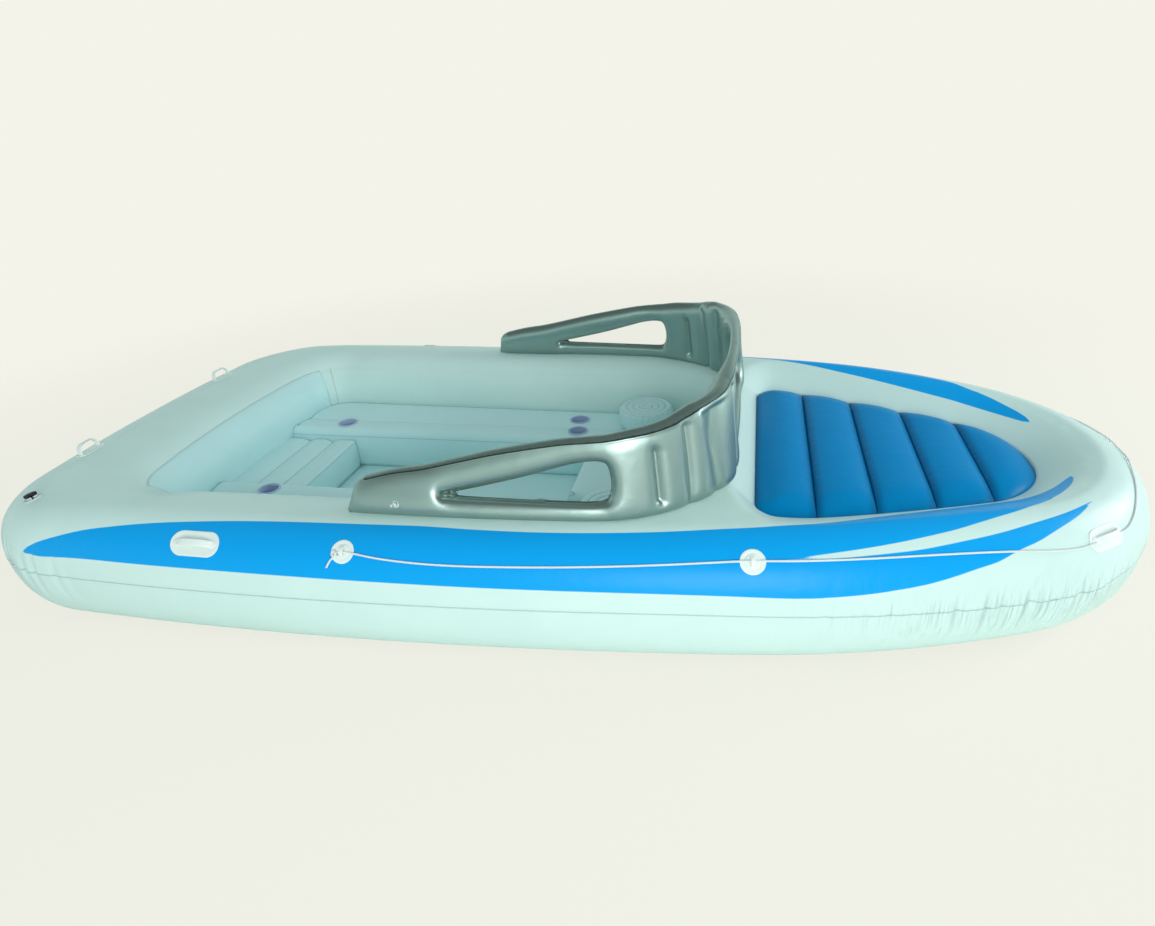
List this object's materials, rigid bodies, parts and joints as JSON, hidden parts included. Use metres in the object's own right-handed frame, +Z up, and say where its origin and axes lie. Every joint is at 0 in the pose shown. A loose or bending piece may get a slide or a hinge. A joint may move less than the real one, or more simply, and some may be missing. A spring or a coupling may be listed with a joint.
{
  "type": "inflatable floating island",
  "caption": "Boat-shaped inflatable floating island with a seating well, windscreen, bow sunpad, cup holders, handles and a grab rope.",
  "frame": {"origin": "on the flat bottom under the middle of the overall box", "axes": "+X towards the bow, +Y to port, +Z up"},
  "size_m": [4.9406, 2.4608, 0.9292],
  "materials": {
    "hull_pvc": "smooth welded vinyl sheet",
    "cockpit_pvc": "smooth welded vinyl sheet",
    "pad_pvc": "smooth welded vinyl sheet",
    "screen_pvc": "metallic grey vinyl sheet",
    "clear_film": "clear flexible vinyl film",
    "cup_plastic": "moulded soft vinyl",
    "fitting_pvc": "moulded white vinyl",
    "rope_fibre": "braided polypropylene cord",
    "valve_clear": "moulded vinyl",
    "cap_black": "moulded plastic"
  },
  "bodies": {
    "root": {"bow_bench": "cockpit_pvc", "bow_floor": "hull_pvc", "bow_handle_port": "fitting_pvc", "bow_handle_starboard": "fitting_pvc", "cockpit_floor": "cockpit_pvc", "corner_cushion_port": "cockpit_pvc", "corner_cushion_starboard": "cockpit_pvc", "cup_holder_1_port": "cup_plastic", "cup_holder_1_starboard": "cup_plastic", "cup_holder_2_port": "cup_plastic", "cup_holder_2_starboard": "cup_plastic", "cup_holder_3_port": "cup_plastic", "cup_holder_3_starboard": "cup_plastic", "grab_rope": "rope_fibre", "hull_chamber": "hull_pvc", "hull_valve_base": "valve_clear", "hull_valve_cap": "cap_black", "rope_patch_1_port": "fitting_pvc", "rope_patch_1_starboard": "fitting_pvc", "rope_patch_2_port": "fitting_pvc", "rope_patch_2_starboard": "fitting_pvc", "side_bench_port": "cockpit_pvc", "side_bench_starboard": "cockpit_pvc", "side_handle_port": "fitting_pvc", "side_handle_starboard": "fitting_pvc", "stern_backrest": "cockpit_pvc", "stern_bench": "cockpit_pvc", "stern_handle_port": "fitting_pvc", "stern_handle_starboard": "fitting_pvc", "sunpad": "pad_pvc", "windscreen_front": "screen_pvc", "windscreen_rail_port": "screen_pvc", "windscreen_rail_starboard": "screen_pvc", "windscreen_window": "clear_film"}
  },
  "joints": []
}
